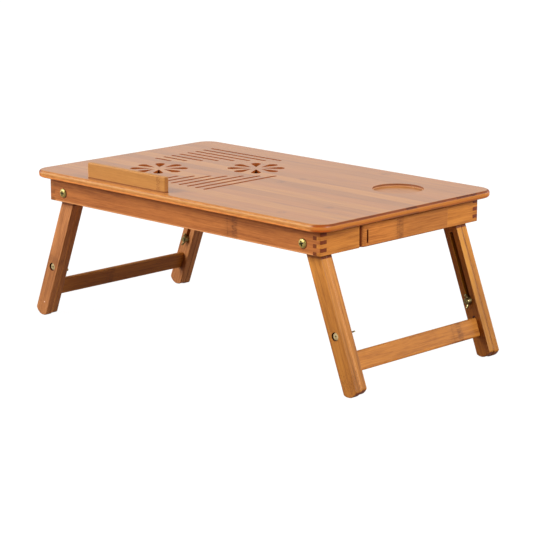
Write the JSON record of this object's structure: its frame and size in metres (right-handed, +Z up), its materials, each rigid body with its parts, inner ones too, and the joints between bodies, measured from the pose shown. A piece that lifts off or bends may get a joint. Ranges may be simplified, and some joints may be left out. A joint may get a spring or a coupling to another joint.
{
  "type": "laptop stand with drawer",
  "caption": "Low folding bamboo laptop tray with a tilting ventilated top, cup recess, ledge, end drawer and splayed legs of adjustable height.",
  "frame": {"origin": "on the floor, at the middle of the bounding box's base, under the middle of the tabletop", "axes": "+X along the tray towards the end with the drawer, -Y towards the user and the ledge, +Z up"},
  "size_m": [0.6168, 0.338, 0.2382],
  "materials": {
    "top_board": "satin",
    "ledge_board": "satin",
    "frame_bamboo": "satin",
    "leg_bamboo": "satin",
    "drawer_bamboo": "satin",
    "inner_bamboo": "satin",
    "zinc_plated_steel": "yellow zinc plated"
  },
  "bodies": {
    "frame": {"front_apron": "frame_bamboo", "back_apron": "frame_bamboo", "left_end_apron": "frame_bamboo", "end_block_front": "frame_bamboo", "end_block_back": "frame_bamboo", "drawer_bay_panel": "inner_bamboo", "drawer_head_rail": "inner_bamboo", "drawer_runner_front": "inner_bamboo", "drawer_runner_back": "inner_bamboo", "rack_rail_left": "inner_bamboo", "rack_rail_right": "inner_bamboo", "hinge_leaf_frame_left": "zinc_plated_steel", "hinge_leaf_frame_right": "zinc_plated_steel", "pivot_bolt_left_front": "zinc_plated_steel", "pivot_nut_left_front": "zinc_plated_steel", "pivot_bolt_left_back": "zinc_plated_steel", "pivot_nut_left_back": "zinc_plated_steel", "pivot_bolt_right_front": "zinc_plated_steel", "pivot_nut_right_front": "zinc_plated_steel", "pivot_bolt_right_back": "zinc_plated_steel", "pivot_nut_right_back": "zinc_plated_steel"},
    "top": {"tabletop": "top_board", "laptop_ledge": "ledge_board", "hinge_leaf_top_left": "zinc_plated_steel", "hinge_leaf_top_right": "zinc_plated_steel", "prop_bracket_left": "inner_bamboo", "prop_bracket_right": "inner_bamboo", "prop_pin_left": "zinc_plated_steel", "prop_pin_right": "zinc_plated_steel"},
    "prop": {"prop_arm_left": "inner_bamboo", "prop_arm_right": "inner_bamboo", "prop_foot_dowel": "inner_bamboo", "prop_brace": "inner_bamboo"},
    "drawer": {"drawer_front": "drawer_bamboo", "drawer_side_front": "drawer_bamboo", "drawer_side_back": "drawer_bamboo", "drawer_back": "drawer_bamboo", "drawer_floor_panel": "drawer_bamboo"},
    "leg_frame_right": {"outer_leg_right_front": "leg_bamboo", "outer_leg_right_back": "leg_bamboo", "clamp_bolt_right_front": "zinc_plated_steel", "clamp_bolt_right_back": "zinc_plated_steel"},
    "leg_extension_right": {"inner_leg_right_front": "leg_bamboo", "inner_leg_right_back": "leg_bamboo", "stretcher_right": "leg_bamboo"},
    "wing_nut_right_front": {"wing_nut_right_front": "zinc_plated_steel"},
    "wing_nut_right_back": {"wing_nut_right_back": "zinc_plated_steel"},
    "leg_frame_left": {"outer_leg_left_front": "leg_bamboo", "outer_leg_left_back": "leg_bamboo", "clamp_bolt_left_front": "zinc_plated_steel", "clamp_bolt_left_back": "zinc_plated_steel"},
    "leg_extension_left": {"inner_leg_left_front": "leg_bamboo", "inner_leg_left_back": "leg_bamboo", "stretcher_left": "leg_bamboo"},
    "wing_nut_left_front": {"wing_nut_left_front": "zinc_plated_steel"},
    "wing_nut_left_back": {"wing_nut_left_back": "zinc_plated_steel"}
  },
  "joints": [
    {"name": "top_tilt", "type": "hinge", "parent": "frame", "child": "top", "pos_m": [0, -0.1547, 0.20725], "axis": [1, 0, 0], "range_deg": [0, 30]},
    {"name": "prop_swing", "type": "hinge", "parent": "top", "child": "prop", "pos_m": [0, -0.0247, 0.20175], "axis": [1, 0, 0], "range_deg": [-60, 0]},
    {"name": "drawer_slide", "type": "slide", "parent": "frame", "child": "drawer", "axis": [1, 0, 0], "range_m": [0, 0.126]},
    {"name": "leg_fold_right", "type": "hinge", "parent": "frame", "child": "leg_frame_right", "pos_m": [0.22809, 0, 0.18725], "axis": [0, 1, 0], "range_deg": [0, 111]},
    {"name": "leg_height_right", "type": "slide", "parent": "leg_frame_right", "child": "leg_extension_right", "axis": [0.3584, 0, -0.9336], "range_m": [0, 0.09]},
    {"name": "wing_nut_spin_right_front", "type": "hinge", "parent": "leg_frame_right", "child": "wing_nut_right_front", "pos_m": [0.27163, -0.1148, 0.07382], "axis": [0, 1, 0], "continuous": true},
    {"name": "wing_nut_spin_right_back", "type": "hinge", "parent": "leg_frame_right", "child": "wing_nut_right_back", "pos_m": [0.27163, 0.1148, 0.07382], "axis": [0, 1, 0], "continuous": true},
    {"name": "leg_fold_left", "type": "hinge", "parent": "frame", "child": "leg_frame_left", "pos_m": [-0.22809, 0, 0.18725], "axis": [0, 1, 0], "range_deg": [-111, 0]},
    {"name": "leg_height_left", "type": "slide", "parent": "leg_frame_left", "child": "leg_extension_left", "axis": [-0.3584, 0, -0.9336], "range_m": [0, 0.09]},
    {"name": "wing_nut_spin_left_front", "type": "hinge", "parent": "leg_frame_left", "child": "wing_nut_left_front", "pos_m": [-0.27163, -0.1148, 0.07382], "axis": [0, 1, 0], "continuous": true},
    {"name": "wing_nut_spin_left_back", "type": "hinge", "parent": "leg_frame_left", "child": "wing_nut_left_back", "pos_m": [-0.27163, 0.1148, 0.07382], "axis": [0, 1, 0], "continuous": true}
  ],
  "couplings": [
    {"joint": "prop_swing", "follows": "top_tilt", "ratio": -2}
  ]
}
